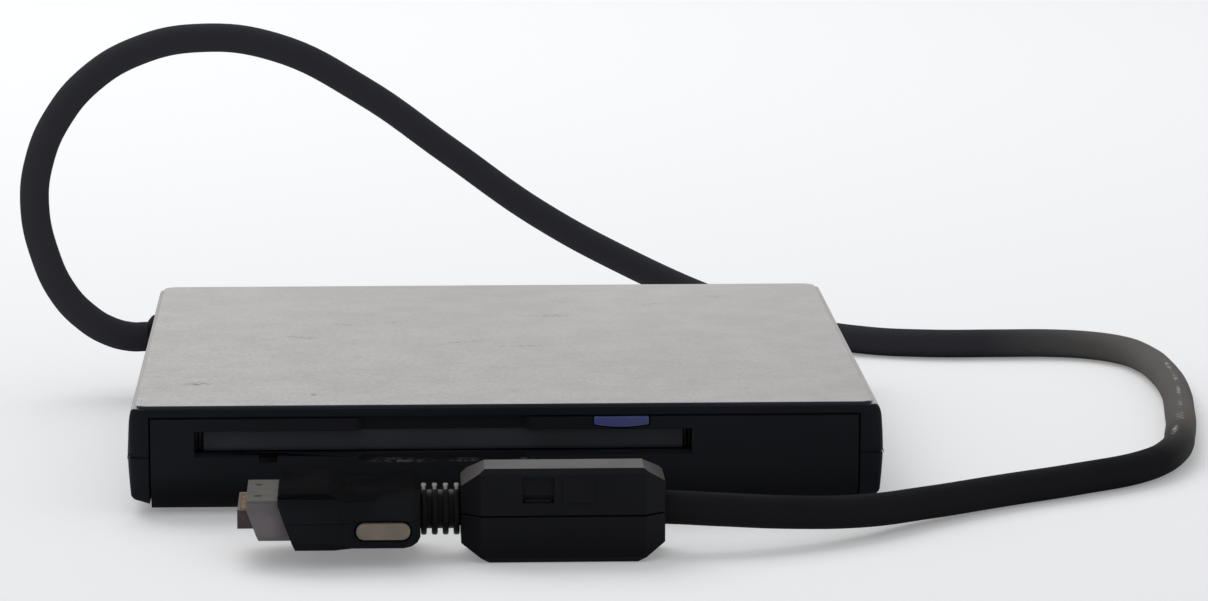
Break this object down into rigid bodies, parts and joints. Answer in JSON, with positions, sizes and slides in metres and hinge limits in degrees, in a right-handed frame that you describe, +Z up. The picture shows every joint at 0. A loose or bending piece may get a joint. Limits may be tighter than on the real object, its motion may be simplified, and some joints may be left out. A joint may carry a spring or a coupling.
{
  "type": "external floppy disk drive",
  "caption": "Slim external floppy disk drive with a flap slot, an eject button and a fixed lead that ends in a snap ferrite and a flat multi-pin plug.",
  "frame": {"origin": "middle of the drive's footprint, on the table under its feet, measured without the lead", "axes": "+X to the right seen from the front, +Y from the slot to the rear, +Z up"},
  "size_m": [0.245, 0.2393, 0.0755],
  "materials": {
    "lid_satin": "pale grey satin paint, lightly scuffed",
    "case_black": "fine matte moulded black",
    "bezel_black": "satin moulded black with a blue cast",
    "flap_black": "satin moulded black",
    "button_violet": "satin moulded blue-violet",
    "lamp_dark": "dark glossy window",
    "lamp_clear": "clear tinted",
    "foot_rubber": "matte",
    "screw_steel": "plain zinc plate",
    "black_screw": "blackened",
    "sheet_steel": "zinc plated sheet",
    "holder_steel": "bright plated sheet",
    "slide_steel": "plated sheet",
    "spring_steel": "plain wire",
    "lever_black": "moulded",
    "bush_brass": "sintered",
    "shaft_steel": "ground",
    "rotor_steel": "plated",
    "magnet_dark": "bonded magnet",
    "board_green": "solder resist",
    "chip_black": "moulded",
    "coil_copper": "enamelled copper wire",
    "carriage_dark": "moulded, glass filled",
    "head_ceramic": "moulded head mount",
    "arm_metal": "cast",
    "motor_steel": "drawn can",
    "flex_amber": "amber film",
    "ribbon_white": "flat film",
    "socket_cream": "moulded",
    "wire_dark": "insulated wires",
    "gland_black": "moulded",
    "cord_black": "matte jacket, slightly worn",
    "ferrite_case": "satin moulded black",
    "ferrite_grey": "sintered ferrite",
    "boot_black": "matte moulded",
    "hood_black": "satin moulded black",
    "shell_metal": "dull nickel plate",
    "tongue_brown": "moulded insulator",
    "contact_gold": "thin gold plate",
    "release_cream": "moulded, warm grey"
  },
  "bodies": {
    "drive": {"lid_panel": "lid_satin", "case_top": "case_black", "case_bottom": "case_black", "front_bezel": "bezel_black", "rubber_feet": "foot_rubber", "case_screws": "black_screw", "flap_spring": "spring_steel", "lamp_window": "lamp_dark", "activity_lamp": "lamp_clear", "drive_chassis": "sheet_steel", "drive_cover": "sheet_steel", "drive_screws": "screw_steel", "slide_springs": "spring_steel", "latch_spring": "spring_steel", "spindle_bearing": "bush_brass", "motor_board": "board_green", "stator_coils": "coil_copper", "guide_rod": "shaft_steel", "stepper_motor": "motor_steel", "screw_bracket": "sheet_steel", "track_sensor": "chip_black", "disk_switches": "chip_black", "main_board": "board_green", "board_chips": "chip_black", "head_flex": "flex_amber", "relay_board": "board_green", "relay_parts": "socket_cream", "board_ribbon": "ribbon_white", "inner_wires": "wire_dark", "cable_clamp": "sheet_steel", "cable_gland": "gland_black", "cord": "cord_black", "ferrite_lower": "ferrite_case", "ferrite_core_lower": "ferrite_grey", "plug_boot": "boot_black", "hood_lower": "hood_black", "hood_upper": "hood_black", "plug_shell": "shell_metal", "plug_tongue": "tongue_brown", "plug_contacts": "contact_gold"},
    "flap": {"slot_flap": "flap_black"},
    "ejector": {"slide_plate": "slide_steel", "eject_button": "button_violet"},
    "holder": {"disk_holder": "holder_steel"},
    "latch": {"latch_lever": "lever_black"},
    "spindle": {"spindle_shaft": "shaft_steel", "spindle_rotor": "rotor_steel", "rotor_magnet": "magnet_dark", "spindle_hub": "shaft_steel"},
    "carriage": {"head_carriage": "carriage_dark", "lower_head": "head_ceramic", "arm_spring": "spring_steel"},
    "arm": {"upper_arm": "arm_metal", "upper_head": "head_ceramic"},
    "screw": {"lead_screw": "shaft_steel"},
    "ferrite_lid": {"ferrite_upper": "ferrite_case", "ferrite_core_upper": "ferrite_grey"},
    "near_release": {"release_near": "release_cream"},
    "far_release": {"release_far": "release_cream"}
  },
  "joints": [
    {"name": "eject_slide", "type": "slide", "parent": "drive", "child": "ejector", "axis": [0, -1, 0], "range_m": [0, 0.004]},
    {"name": "holder_drop", "type": "slide", "parent": "drive", "child": "holder", "axis": [0, 0, -1], "range_m": [0, 0.002]},
    {"name": "latch_turn", "type": "hinge", "parent": "drive", "child": "latch", "pos_m": [-0.0486, 0.04, 0.0134], "axis": [0, 0, 1], "range_deg": [0, 18]},
    {"name": "arm_tilt", "type": "hinge", "parent": "carriage", "child": "arm", "pos_m": [-0.0116, 0.0497, 0.013], "axis": [1, 0, 0], "range_deg": [0, 8.7]},
    {"name": "flap_swing", "type": "hinge", "parent": "drive", "child": "flap", "pos_m": [-0.0116, -0.0647, 0.01655], "axis": [1, 0, 0], "range_deg": [0, 90], "stiffness_Nm_per_rad": 0.0006, "springref_deg": -28.65},
    {"name": "carriage_slide", "type": "slide", "parent": "drive", "child": "carriage", "axis": [0, -1, 0], "range_m": [0, 0.015]},
    {"name": "screw_turn", "type": "hinge", "parent": "drive", "child": "screw", "pos_m": [-0.027, 0.04, 0.0106], "axis": [0, 1, 0], "range_deg": [0, 1800.5]},
    {"name": "spindle_spin", "type": "hinge", "parent": "drive", "child": "spindle", "pos_m": [-0.0116, -0.0165, 0.008], "axis": [0, 0, 1], "continuous": true},
    {"name": "ferrite_hinge", "type": "hinge", "parent": "drive", "child": "ferrite_lid", "pos_m": [0.0094, -0.0919, 0.0086], "axis": [-1, 0, 0], "range_deg": [0, 100]},
    {"name": "near_release_press", "type": "slide", "parent": "drive", "child": "near_release", "axis": [0, 1, 0], "range_m": [0, 0.0009], "stiffness_N_per_m": 1500},
    {"name": "far_release_press", "type": "slide", "parent": "drive", "child": "far_release", "axis": [0, -1, 0], "range_m": [0, 0.0009], "stiffness_N_per_m": 1500}
  ],
  "couplings": [
    {"joint": "holder_drop", "follows": "eject_slide", "ratio": 0.5},
    {"joint": "latch_turn", "follows": "eject_slide", "rad_per_m": 78.5},
    {"joint": "arm_tilt", "follows": "eject_slide", "rad_per_m": 37.9},
    {"joint": "screw_turn", "follows": "carriage_slide", "rad_per_m": 2094.4}
  ]
}
